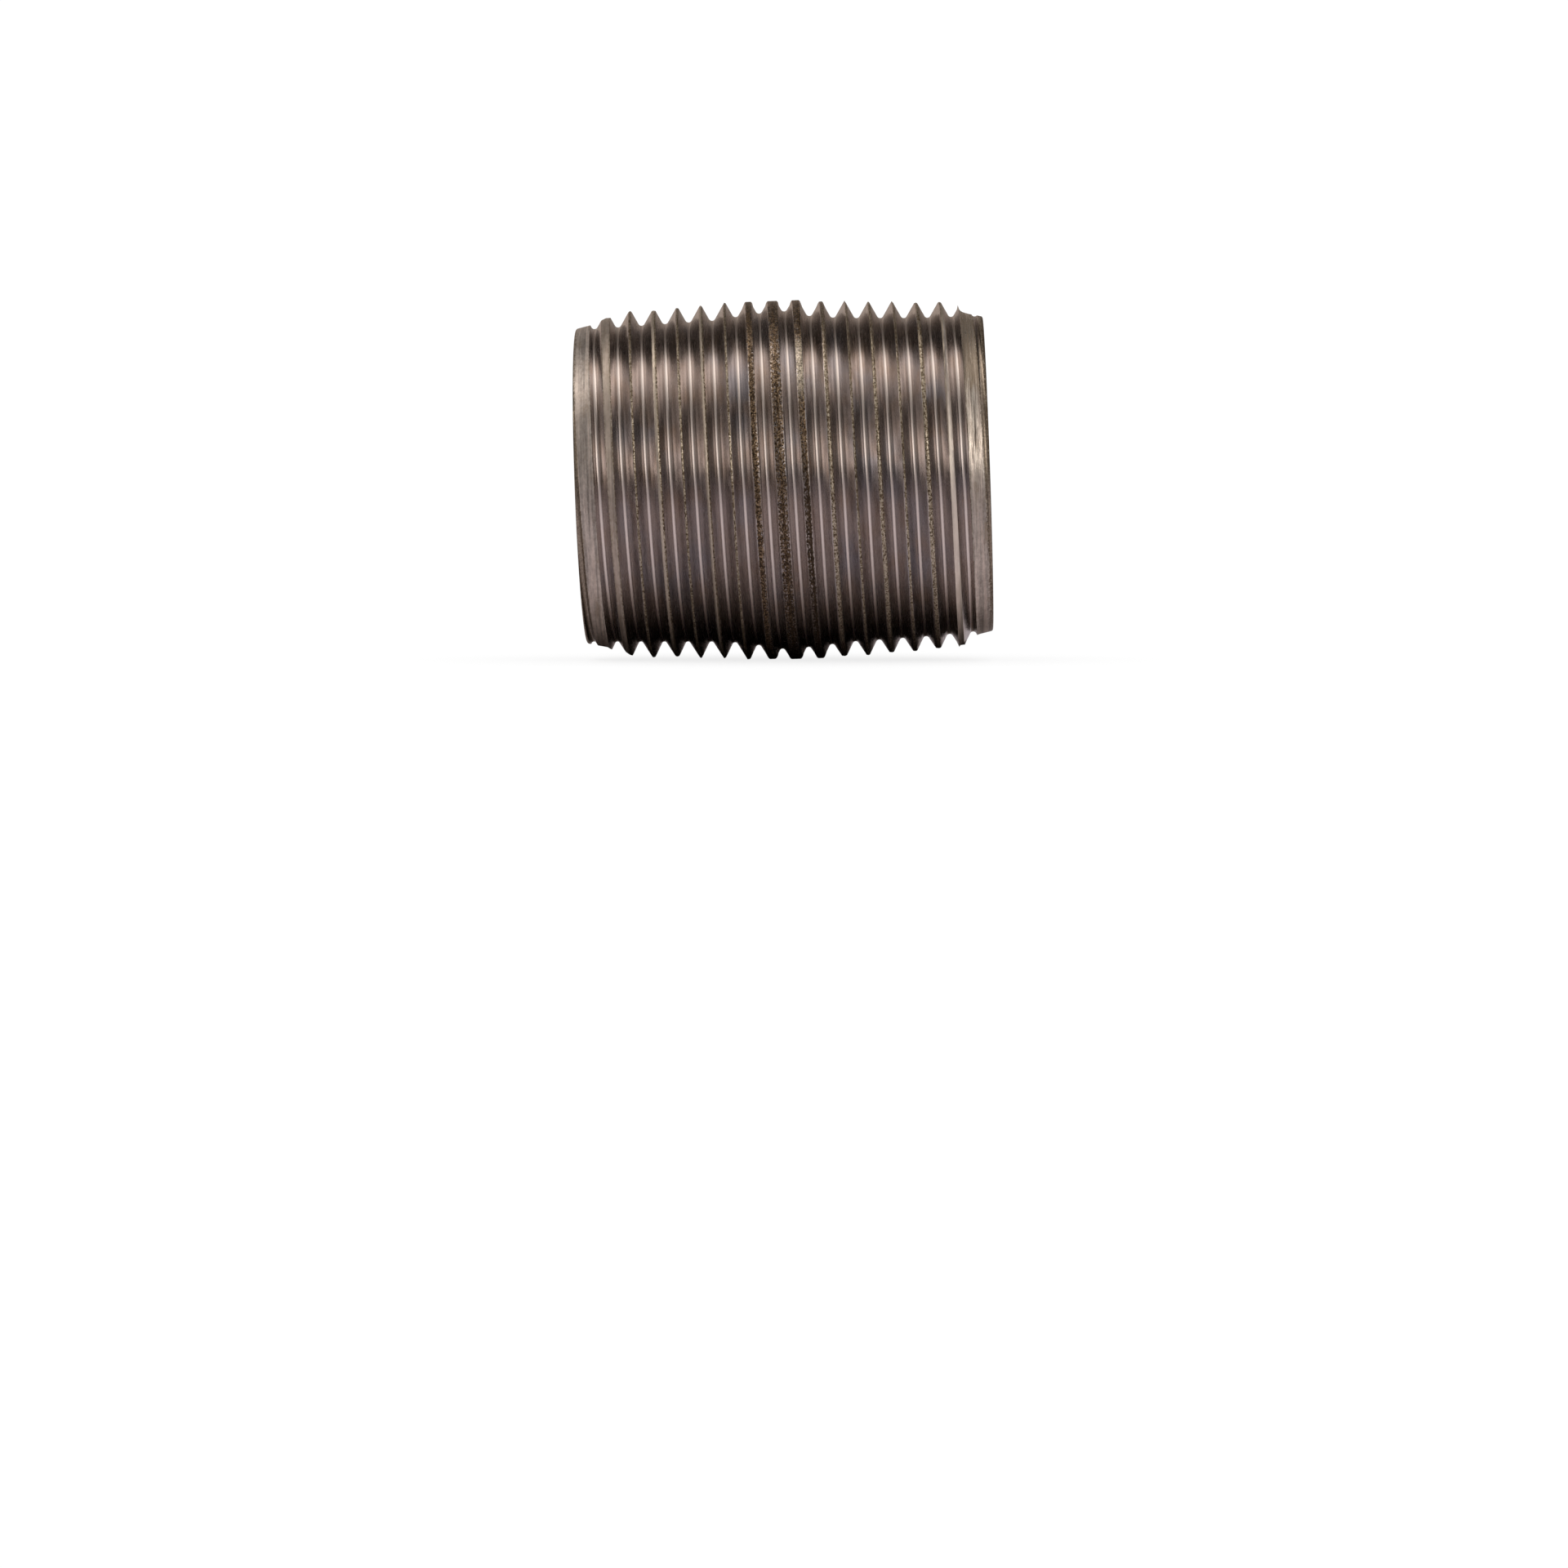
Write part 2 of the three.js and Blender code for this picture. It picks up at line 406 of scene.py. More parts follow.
class Nodes:
    """Builds a shader from sockets and plain values. Coordinates are the object's own, in millimetres."""

    def __init__(self, owner):
        owner.use_nodes = True
        self.tree = owner.node_tree
        self.tree.nodes.clear()

    def add(self, kind, inputs, output=0, **settings):
        node = self.tree.nodes.new(kind)
        for key, value in settings.items():
            setattr(node, key, value)
        for key, value in inputs.items():
            if isinstance(value, bpy.types.NodeSocket):
                self.tree.links.new(value, node.inputs[key])
            else:
                node.inputs[key].default_value = value
        return node.outputs[output] if node.outputs else None

    def math(self, operation, a, b=0.0):
        return self.add("ShaderNodeMath", {0: a, 1: b}, operation=operation)

    def fade(self, value, low, high, to_low=0.0, to_high=1.0):
        inputs = {"Value": value, "From Min": low, "From Max": high}
        inputs |= {"To Min": to_low, "To Max": to_high}
        return self.add("ShaderNodeMapRange", inputs, interpolation_type="SMOOTHSTEP")

    def mix(self, share, a, b):
        inputs = {0: share, 6: a, 7: b}
        return self.add("ShaderNodeMix", inputs, output=2, data_type="RGBA")

    def mix_value(self, share, a, b):
        return self.add("ShaderNodeMix", {0: share, 2: a, 3: b}, data_type="FLOAT")

    def attribute(self, name):
        return self.add("ShaderNodeAttribute", {}, output="Fac", attribute_name=name)

    def point(self):
        """The position in millimetres as (vector, x, y, z)."""
        place = self.add("ShaderNodeTexCoord", {}, output="Object")
        place = self.scaled(place, 1 / MM)
        return (place, *self.split(place))

    def stretched(self, vector, along, around):
        """The position scaled differently along the nipple and across it, for drawn-out noise."""
        inputs = {0: vector, 1: (along, around, around)}
        return self.add("ShaderNodeVectorMath", inputs, operation="MULTIPLY")

    def noise(self, vector, scale, detail, roughness=0.55):
        inputs = {"Vector": vector, "Scale": scale, "Detail": detail, "Roughness": roughness}
        return self.add("ShaderNodeTexNoise", inputs)

    def bump(self, height, distance, normal=None):
        """`height` is 0 to 1 and `distance` is its depth in millimetres."""
        inputs = {"Height": height, "Distance": distance * MM, "Strength": 1.0}
        if normal is not None:
            inputs["Normal"] = normal
        return self.add("ShaderNodeBump", inputs)

    def scaled(self, colour, factor):
        return self.add("ShaderNodeVectorMath", {0: colour, "Scale": factor}, operation="SCALE")

    def split(self, vector):
        """The vector's (x, y, z)."""
        node = self.tree.nodes.new("ShaderNodeSeparateXYZ")
        self.tree.links.new(vector, node.inputs[0])
        return tuple(node.outputs)

    def surface(self, colour, roughness, metallic, normal):
        inputs = {"Base Color": colour, "Roughness": roughness, "Metallic": metallic, "Normal": normal}
        shader = self.add("ShaderNodeBsdfPrincipled", inputs)
        self.add("ShaderNodeOutputMaterial", {"Surface": shader})


CUT_STEEL = (0.50, 0.450, 0.428, 1)
BLUED_STEEL = (0.43, 0.415, 0.43, 1)
WARM_STEEL = (0.47, 0.395, 0.345, 1)
# Painted highlight: pale root colours that brighten the line along each groove's bottom. The first is used
# at the bottom of the nipple and the second at its top.
PAINTED_ROOT_SHEEN_BOTTOM = (0.97, 0.88, 0.825, 1)
PAINTED_ROOT_SHEEN_TOP = (0.62, 0.56, 0.525, 1)
LIP_STEEL = (0.34, 0.295, 0.262, 1)
PALE_STEEL = (0.62, 0.55, 0.495, 1)
DARK_STREAK = (0.21, 0.172, 0.14, 1)
BRIGHT_STREAK = (0.95, 0.86, 0.75, 1)
RUBBED_STEEL = (0.57, 0.50, 0.42, 1)
STAINED_STEEL = (0.30, 0.235, 0.17, 1)
SCALE_DARK = (0.028, 0.017, 0.009, 1)
SCALE_BROWN = (0.125, 0.082, 0.047, 1)
SCALE_PALE = (0.36, 0.26, 0.165, 1)
TORN_DARK = (0.095, 0.067, 0.041, 1)
TORN_OLIVE = (0.34, 0.280, 0.20, 1)
TORN_PALE = (0.60, 0.53, 0.42, 1)
FACED_DARK = (0.36, 0.325, 0.30, 1)
FACED_PALE = (0.78, 0.72, 0.665, 1)
BORE_DARK = (0.060, 0.054, 0.050, 1)
BORE_GREY = (0.13, 0.117, 0.108, 1)
BEAD_STEEL = (0.24, 0.225, 0.215, 1)

LINE_LEAN = 0.04  # how far the torn line along a crest lies right of the crest's own middle
GLINT_SPOT = (2.1, -13.1, 10.5)  # centre of a pale painted highlight on the middle crests' skin, where the overhead box reflects
LAST_CREST = (14.9, 15.3)  # x over which the right thread's last whole crest begins
RIGHT_LIP = (16.4, 16.8)  # x over which the right lip begins
LEFT_LIP = (-16.7, -16.4)  # x over which the left lip ends and its second turned band begins


def grains(n, vector, per_mm):
    """A grainy surface: each grain gets a random value from 0 to 1."""
    inputs = {"Vector": vector, "Scale": per_mm, "Randomness": 1.0}
    cells = n.add("ShaderNodeTexVoronoi", inputs, output=1)
    return n.add("ShaderNodeSeparateColor", {0: cells})


def from_end(n, x, noise, ragged):
    """Distance from the nearer end face, made ragged by a noise value."""
    distance = n.math("SUBTRACT", HALF_LENGTH, n.math("ABSOLUTE", x))
    return n.math("ADD", distance, n.fade(noise, 0.3, 0.7, -ragged, ragged))


def thread_material(material):
    """Smooth cut flanks and roots, torn crests, and the pipe's dark pitted skin on the middle crests."""
    n = Nodes(material)
    vector, x, _, z = n.point()
    below_crest = n.attribute("below_crest")
    past_crest = n.attribute("past_crest")
    breadth = n.attribute("crest_breadth")
    patches = n.noise(n.stretched(vector, 0.35, 0.12), 1.0, 2.0)
    warm = n.noise(n.stretched(vector, 0.5, 0.2), 1.7, 2.0)
    fine_lines = n.noise(n.stretched(vector, 14.0, 0.35), 1.0, 4.0, 0.7)
    broad_lines = n.noise(n.stretched(vector, 4.0, 0.12), 1.0, 3.0, 0.6)

    cut = n.mix(n.fade(patches, 0.45, 0.70), CUT_STEEL, BLUED_STEEL)
    cut = n.mix(n.fade(warm, 0.45, 0.75, 0, 0.8), cut, WARM_STEEL)
    darker = n.fade(broad_lines, 0.3, 0.7, 0.92, 1.04)
    cut = n.scaled(cut, darker)
    # Painted highlight: the roots get a pale steel that brightens their highlight line. It is paler
    # towards the bottom of the nipple than at its top.
    root = n.fade(n.attribute("above_root"), 0.006, 0.035, 1.0, 0.0)
    cut = n.mix(root, cut, n.mix(n.fade(z, -12.0, 10.0), PAINTED_ROOT_SHEEN_BOTTOM, PAINTED_ROOT_SHEEN_TOP))
    cut_rough = n.mix_value(root, n.fade(fine_lines, 0.3, 0.75, 0.15, 0.30), 0.32)

    grain = grains(n, n.stretched(vector, 1.0, 0.7), 13.0)
    clumps = n.noise(n.stretched(vector, 1.0, 0.6), 7.0, 3.0, 0.6)
    specks = n.math("ADD", n.math("MULTIPLY", grain, 0.60), n.math("MULTIPLY", clumps, 0.60))
    fine_grain = grains(n, n.stretched(vector, 1.0, 0.8), 11.0)
    fine_clumps = n.noise(n.stretched(vector, 1.0, 0.7), 14.0, 3.0, 0.7)
    fine_specks = n.math("MULTIPLY", fine_clumps, 0.65)
    fine_specks = n.math("ADD", n.math("MULTIPLY", fine_grain, 0.55), fine_specks)
    middle = n.fade(n.math("ABSOLUTE", x), *MIDDLE_CRESTS, 1.0, 0.0)
    last_crest = n.fade(x, *LAST_CREST)
    wobble = n.fade(clumps, 0.3, 0.7, -0.032, 0.032)
    wobble = n.math("ADD", wobble, n.math("MULTIPLY", n.math("SUBTRACT", grain, 0.5), 0.035))

    skin_left = n.fade(n.math("ADD", below_crest, wobble), 0.0, 0.05, 1.0, 0.0)
    skin_left = n.math("MULTIPLY", skin_left, middle)
    across = n.math("ABSOLUTE", n.math("SUBTRACT", past_crest, LINE_LEAN))
    half_width = n.mix_value(breadth, 0.11, 0.20)
    half_width = n.mix_value(last_crest, half_width, 0.28)
    line = n.math("SUBTRACT", n.math("ADD", across, wobble), half_width)
    line = n.fade(line, -0.03, 0.03, 1.0, 0.0)
    line = n.math("MULTIPLY", line, n.fade(below_crest, 0.17, 0.28, 1.0, 0.0))
    crest = n.math("MAXIMUM", skin_left, line)

    # The torn specks are made paler towards the bottom of the nipple, and a little on its right half.
    paler = n.math("ADD", n.fade(z, -1.0, -9.0, 0.0, 0.07), n.fade(x, -1.0, 1.0, 0.0, 0.03))
    torn_specks = n.math("ADD", specks, paler)
    torn = n.mix(n.fade(torn_specks, 0.48, 0.62), TORN_DARK, TORN_OLIVE)
    torn = n.mix(n.fade(torn_specks, 0.72, 0.80), torn, TORN_PALE)
    rubbed = n.fade(n.math("ADD", past_crest, wobble), 0.04, 0.10, 1.0, 0.0)
    rubbed = n.math("MULTIPLY", rubbed, n.fade(breadth, 0.4, 0.8))
    rubbed = n.math("MULTIPLY", rubbed, n.fade(x, -1.0, 1.0, 1.0, 0.0))
    rubbed = n.math("MAXIMUM", rubbed, last_crest)
    rubbed = n.math("MULTIPLY", rubbed, n.math("SUBTRACT", 1.0, middle))
    torn = n.mix(n.math("MULTIPLY", rubbed, 0.8), torn, RUBBED_STEEL)
    skin = n.mix(n.fade(fine_specks, 0.42, 0.70), SCALE_DARK, SCALE_BROWN)
    skin = n.mix(n.fade(fine_specks, 0.68, 0.88), skin, SCALE_PALE)
    in_shade = n.math("MULTIPLY", n.fade(x, -1.5, 0.8), n.fade(z, 4.5, -1.0))
    in_shade = n.math("MULTIPLY", in_shade, n.fade(x, 0.6, 1.6, 0.45, 0.75))
    skin = n.mix(in_shade, skin, SCALE_DARK)
    # Painted highlight: the skin is painted pale round a spot on the upper front of the middle crests.
    spot = {0: vector, 1: GLINT_SPOT}
    from_spot = n.add("ShaderNodeVectorMath", spot, output=1, operation="DISTANCE")
    wear_and_glint = n.math("MULTIPLY", n.fade(from_spot, 1.0, 4.5, 0.85, 0.0), n.fade(x, 0.6, 1.2))
    wear_and_glint = n.math("MULTIPLY", wear_and_glint, n.fade(fine_specks, 0.40, 0.65, 0.2, 1.0))
    skin = n.mix(wear_and_glint, skin, TORN_PALE)
    crest_colour = n.mix(middle, torn, skin)

    colour = n.mix(crest, cut, crest_colour)
    rim = n.fade(from_end(n, x, clumps, 0.2), 0.5, 0.9, 1.0, 0.0)
    colour = n.mix(n.math("MULTIPLY", rim, 0.85), colour, n.mix(grain, TORN_DARK, TORN_OLIVE))
    roughness = n.mix_value(crest, cut_rough, n.fade(grain, 0.0, 1.0, 0.50, 0.30))
    metallic = n.mix_value(crest, 1.0, n.mix_value(middle, 0.9, 0.85))
    lines = n.bump(fine_lines, 0.003)
    lines = n.bump(broad_lines, 0.0035, lines)
    depths = n.math("MULTIPLY", specks, n.fade(rubbed, 0.0, 1.0, 1.0, 0.5))
    depths = n.mix_value(middle, depths, n.math("MULTIPLY", fine_specks, 0.45))
    pits = n.bump(depths, 0.020, lines)
    normal = n.add("ShaderNodeMix", {0: crest, 4: lines, 5: pits}, output=1, data_type="VECTOR")
    n.surface(colour, roughness, metallic, normal)


def lip_material(material):
    """Turned ends: frosted at left, streaked at right, brown at the rims and torn by the thread."""
    n = Nodes(material)
    vector, x, _, z = n.point()
    to_right = n.fade(x, -1.0, 1.0)
    right_lip = n.fade(x, *RIGHT_LIP)
    lines = n.noise(n.stretched(vector, 7.0, 0.25), 1.0, 5.0, 0.75)
    bands = n.noise(n.stretched(vector, 2.6, 0.06), 1.0, 3.0, 0.6)
    stains = n.noise(n.stretched(vector, 1.1, 0.35), 1.0, 5.0, 0.65)
    frost = n.noise(n.stretched(vector, 1.0, 0.6), 3.6, 5.0, 0.8)
    grain = grains(n, vector, 13.0)
    clouds = n.noise(n.stretched(vector, 0.8, 0.15), 1.0, 4.0, 0.6)

    streaked = n.math("MULTIPLY", right_lip, n.fade(z, -4.0, 2.5, 0.15, 1.0))
    dark = n.mix(streaked, LIP_STEEL, DARK_STREAK)
    light = n.mix(streaked, PALE_STEEL, BRIGHT_STREAK)
    mottle = n.mix_value(streaked, n.fade(frost, 0.38, 0.62), n.fade(lines, 0.43, 0.60))
    streaks = n.math("MULTIPLY", n.fade(lines, 0.38, 0.62), 0.4)
    mottle = n.math("ADD", n.math("MULTIPLY", mottle, 0.6), streaks)
    colour = n.mix(mottle, dark, light)
    colour = n.mix(n.fade(bands, 0.42, 0.70, 0.0, 0.65), colour, WARM_STEEL)
    shade = n.fade(bands, 0.36, 0.62, 0.66, 1.22)
    shade = n.math("MULTIPLY", shade, n.fade(clouds, 0.36, 0.62, 0.80, 1.15))
    colour = n.scaled(colour, shade)
    second_band = n.math("MULTIPLY", n.fade(x, *LEFT_LIP), n.fade(x, -1.0, 1.0, 0.4, 0.0))
    colour = n.mix(second_band, colour, STAINED_STEEL)
    # On the right lip the stains grow stronger towards the top, which darkens it there.
    stained_more_on_top = n.math("MULTIPLY", n.fade(z, 5.0, 11.0, 0.0, 0.32), right_lip)
    stained = n.fade(n.math("ADD", stains, stained_more_on_top), 0.50, 0.74, 0.0, 0.75)
    colour = n.mix(stained, colour, STAINED_STEEL)

    speckle = n.mix(n.fade(grain, 0.45, 0.9), TORN_DARK, TORN_OLIVE)
    speckle = n.mix(n.fade(grain, 0.80, 0.92), speckle, TORN_PALE)
    rim = n.math("SUBTRACT", from_end(n, x, frost, 0.07), n.math("MULTIPLY", to_right, 0.10))
    rim = n.fade(rim, 0.04, 0.36, 1.0, 0.0)
    narrow = n.fade(n.math("MAXIMUM", to_right, second_band), 0.0, 0.4, 2.2, 1.0)
    under = n.math("MULTIPLY", n.attribute("under_thread"), narrow)
    under = n.math("ADD", under, n.fade(frost, 0.3, 0.7, -0.10, 0.10))
    last_crest = n.math("MULTIPLY", to_right, n.fade(x, 16.3, 16.5, 1.0, 0.0))
    scraped = n.math("MULTIPLY", last_crest, n.fade(z, 3.0, 8.0, 0.55, 0.0))
    colour = n.mix(scraped, colour, BRIGHT_STREAK)
    torn = n.fade(under, 0.02, 0.26, 1.0, 0.0)
    torn = n.math("MULTIPLY", torn, n.math("SUBTRACT", 1.0, last_crest))
    # On the lips this is wear only: the rims and the torn edges take the speckled colour.
    wear_and_glint = n.math("MULTIPLY", n.math("MAXIMUM", rim, torn), 0.85)
    colour = n.mix(wear_and_glint, colour, speckle)
    dark_rim = n.math("MULTIPLY", rim, to_right)
    dark_rim = n.math("MULTIPLY", dark_rim, n.fade(grain, 0.5, 0.9, 0.9, 0.4))
    colour = n.mix(dark_rim, colour, TORN_DARK)

    frosted_rough = n.fade(lines, 0.3, 0.7, 0.30, 0.44)
    streaked_rough = n.fade(mottle, 0.0, 1.0, 0.46, 0.22)
    roughness = n.mix_value(streaked, frosted_rough, streaked_rough)
    normal = n.bump(lines, 0.020)
    normal = n.bump(frost, 0.024, normal)
    normal = n.bump(n.math("MULTIPLY", wear_and_glint, grain), 0.04, normal)
    n.surface(colour, roughness, 0.75, normal)


def face_material(material):
    """The sawn and faced ring at each end, with tool marks running round it."""
    n = Nodes(material)
    vector, _, y, z = n.point()
    radius = n.math("SQRT", n.math("ADD", n.math("MULTIPLY", y, y), n.math("MULTIPLY", z, z)))
    around = n.stretched(vector, 0.0, 0.12)
    ring = n.add("ShaderNodeCombineXYZ", {0: n.math("MULTIPLY", radius, 11.0)})
    ring = n.add("ShaderNodeVectorMath", {0: ring, 1: around}, operation="ADD")
    marks = n.noise(ring, 1.0, 4.0, 0.7)
    stains = n.noise(vector, 0.9, 4.0, 0.6)
    grain = n.noise(vector, 8.0, 3.0, 0.7)
    colour = n.mix(n.fade(marks, 0.38, 0.62), FACED_DARK, FACED_PALE)
    colour = n.mix(n.fade(stains, 0.50, 0.75, 0.0, 0.55), colour, STAINED_STEEL)
    near_edge = n.math("ABSOLUTE", n.math("SUBTRACT", radius, FACE_MIDDLE))
    near_edge = n.fade(n.math("ADD", near_edge, n.fade(grain, 0.3, 0.7, -0.06, 0.06)), 0.38, 0.55)
    colour = n.mix(n.math("MULTIPLY", near_edge, 0.8), colour, TORN_DARK)
    roughness = n.fade(marks, 0.3, 0.7, 0.28, 0.48)
    normal = n.bump(marks, 0.018)
    normal = n.bump(grain, 0.006, normal)
    n.surface(colour, roughness, 1.0, normal)


def bore_material(material):
    """Rolled inside of the pipe: dark drawn-out scale, brown stains and the weld's bare bead."""
    n = Nodes(material)
    vector, _, y, z = n.point()
    drawn = n.noise(n.stretched(vector, 0.12, 2.2), 1.0, 5.0, 0.7)
    stains = n.noise(n.stretched(vector, 0.4, 0.6), 1.0, 4.0, 0.6)
    grain = n.noise(vector, 9.0, 4.0, 0.7)
    colour = n.mix(n.fade(drawn, 0.30, 0.70), BORE_DARK, BORE_GREY)
    colour = n.mix(n.fade(stains, 0.48, 0.75, 0.0, 0.45), colour, SCALE_BROWN)
    turn = n.math("MULTIPLY", n.math("ARCTAN2", z, y), BORE_RADIUS)
    from_bead = n.math("ABSOLUTE", n.math("SUBTRACT", turn, 2 * math.pi * BEAD_TURN * BORE_RADIUS))
    on_bead = n.fade(n.math("ADD", from_bead, n.fade(grain, 0.3, 0.7, -0.2, 0.2)), 0.5, 1.1, 0.6, 0.0)
    colour = n.mix(on_bead, colour, BEAD_STEEL)
    roughness = n.fade(grain, 0.3, 0.7, 0.34, 0.52)
    normal = n.bump(drawn, 0.012)
    normal = n.bump(grain, 0.015, normal)
    n.surface(colour, roughness, 0.6, normal)


BUILDERS = [thread_material, lip_material, face_material, bore_material]
for surface, build in zip(SURFACES, BUILDERS, strict=True):
    steel = bpy.data.materials.new("steel_" + surface)
    build(steel)
    blank.data.materials.append(steel)
rod.data.materials.append(blank.data.materials[SURFACES.index("thread")])

# ---- The threaded body -------------------------------------------------------------------------------

SMOOTH_BELOW = math.radians(38)  # edges sharper than this are drawn sharp

# Heights of the torn edge and its two burrs, and the distances from the end face over which they begin
# or end.
TORN_EDGE = 0.07
TORN_FROM = (1.2, 1.6)
TORN_TO = (4.6, 4.0)
TOP_BURR = 0.22
TOP_BURR_TO = (2.7, 2.3)
BOTTOM_BURR = 0.12
BOTTOM_BURR_FROM = (2.6, 2.9)
BURR_REACH = 0.02  # to each side round the nipple, in turns
BURR_LEAN = 0.3

thread_cut = blank.modifiers.new("thread", "BOOLEAN")
thread_cut.operation = "INTERSECT"
thread_cut.solver = "MANIFOLD"
thread_cut.material_mode = "TRANSFER"
thread_cut.object = rod
bpy.context.view_layer.update()
evaluated = blank.evaluated_get(bpy.context.evaluated_depsgraph_get())
threaded = bpy.data.meshes.new_from_object(evaluated)
blank.modifiers.clear()
blank.data = threaded
bpy.data.objects.remove(rod)
threaded.shade_smooth()
threaded.set_sharp_from_angle(angle=SMOOTH_BELOW)


def raise_burrs(mesh):
    """Turns up the torn edges where the right-hand thread breaks out through the turned cone."""
    lip_corners, thread_corners = set(), set()
    for polygon in mesh.polygons:
        if polygon.material_index == SURFACES.index("lip"):
            lip_corners.update(polygon.vertices)
        if polygon.material_index == SURFACES.index("thread"):
            thread_corners.update(polygon.vertices)
    for index in sorted(lip_corners & thread_corners):
        corner = mesh.vertices[index]
        x, y, z = corner.co / MM
        distance = HALF_LENGTH - x
        turn = math.atan2(z, y) / (2 * math.pi)
        torn = 0.5 + 0.5 * float(smooth_noise(turn, 0.008, 31))
        shows = float(smoothstep(distance, *TORN_FROM) * smoothstep(distance, *TORN_TO))
        at_top = math.exp(-(((turn - 0.25) / BURR_REACH) ** 2))
        at_top = at_top * float(smoothstep(distance, *TOP_BURR_TO))
        at_bottom = math.exp(-(((turn + 0.25) / BURR_REACH) ** 2))
        at_bottom = at_bottom * float(smoothstep(distance, *BOTTOM_BURR_FROM))
        height = shows * (TORN_EDGE * torn + TOP_BURR * at_top + BOTTOM_BURR * at_bottom)
        corner.co += Vector((BURR_LEAN, y, z)).normalized() * height * MM


def write_thread_heights(mesh):
    """Stores where each corner lies against the thread's section, in millimetres, for the materials."""
    place = np.empty(len(mesh.vertices) * 3, np.float32)
    mesh.vertices.foreach_get("co", place)
    place = place.reshape(-1, 3).astype(float) / MM
    x, radius = place[:, 0], np.hypot(place[:, 1], place[:, 2])
    step = (np.arctan2(place[:, 2], place[:, 1]) / (2 * math.pi) - 0.25) * STEPS
    step = step + np.round((x - groove_centre(step)) / PITCH) * STEPS
    angle, rows = thread_rows(step)
    middle = groove_centre(step)
    root = root_radius(middle, angle)
    crest = np.where(x < middle, rows[1][1], rows[-1][1])
    following = groove_centre(step + STEPS)
    crest_x = np.where(x < middle, rows[0][0], (middle + following) / 2 + CREST_LEAN)
    crest_step = step + np.where(x < middle, -0.5, 0.5) * STEPS
    flank = root + (np.abs(x - middle) - FILLET_REACH) / FLANK_SLOPE + FILLET_RISE
    values = {
        "below_crest": crest - radius,
        "above_root": radius - root,
        "under_thread": np.minimum(flank, crest) - radius,
        "crest_breadth": crest_breadth(x, crest_step),
        "past_crest": x - crest_x,
    }
    for name, value in values.items():
        layer = mesh.attributes.new(name, "FLOAT", "POINT")
        layer.data.foreach_set("value", value.astype(np.float32))


raise_burrs(threaded)
write_thread_heights(threaded)
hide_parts("nipple_body")
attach(blank, "root")

# ---- Camera ------------------------------------------------------------------------------------------

CAMERA_DISTANCE = 602.5
CAMERA_LENS = 147.2
SENSOR_WIDTH = 36
CAMERA_TURN = math.radians(-0.9)
CAMERA_ROLL = math.radians(2.0)
AIM_BELOW = math.radians(2.713)  # how far below the nipple's middle the camera looks
AIM_LEFT = math.radians(0.007)
SEEN_FROM = 10
SEEN_TO = 20000

level_right = Vector((math.cos(CAMERA_TURN), -math.sin(CAMERA_TURN), 0))
forward = Vector((math.sin(CAMERA_TURN), math.cos(CAMERA_TURN), 0))
right = level_right * math.cos(CAMERA_ROLL) - Vector((0, 0, math.sin(CAMERA_ROLL)))
up = level_right * math.sin(CAMERA_ROLL) + Vector((0, 0, math.cos(CAMERA_ROLL)))
camera_up = up * math.cos(AIM_BELOW) + forward * math.sin(AIM_BELOW)
camera_forward = forward * math.cos(AIM_BELOW) - up * math.sin(AIM_BELOW)
camera_right = right * math.cos(AIM_LEFT) + camera_forward * math.sin(AIM_LEFT)
camera_forward = camera_forward * math.cos(AIM_LEFT) - right * math.sin(AIM_LEFT)


def placed(position, axes):
    """The matrix that puts an object at `position` with its own x, y and z along the three axes."""
    return Matrix.Translation(position) @ Matrix(axes).transposed().to_4x4()


camera_data = bpy.data.cameras.new("camera")
camera_data.sensor_width = SENSOR_WIDTH
camera_data.lens = CAMERA_LENS
camera_data.clip_start = SEEN_FROM * MM
camera_data.clip_end = SEEN_TO * MM
camera = bpy.data.objects.new("camera", camera_data)
camera_place = forward * (-CAMERA_DISTANCE * MM)
camera.matrix_world = placed(camera_place, (camera_right, camera_up, -camera_forward))
bpy.context.scene.collection.objects.link(camera)
bpy.context.scene.camera = camera
bpy.context.scene.view_settings.view_transform = "Standard"

# ---- Floor -------------------------------------------------------------------------------------------

FLOOR_REACH = 4000
FLOOR_GAP = 0.02

# Painted shade and light in the floor's colour: how bright the floor is at distances from the line under
# the nipple.
SHADED_WITHIN = 3
BRIGHT_FROM = 17
BRIGHT_TO = 35
DIM_FROM = 160
SHADED = 0.05
BRIGHT = 0.60
DIM_SHARE = 0.5  # of the bright floor
SHADE_STOPS_SHORT = 2.6  # how far inside each end of the nipple the shade begins to fade
END_FALL = 3.0  # how much faster the shade fades past the ends than beside the nipple

FLOOR_TINT = (1.0, 0.89, 0.92, 1)
SHADE_TINT = (1.0, 0.78, 0.66, 1)
FLOOR_WHITE = (0.97, 0.97, 0.97, 1)
FLOOR_GLOW = 1.03
GLOW_SHARE = 0.80  # of what the camera sees. The rest is the lit floor with its shadow


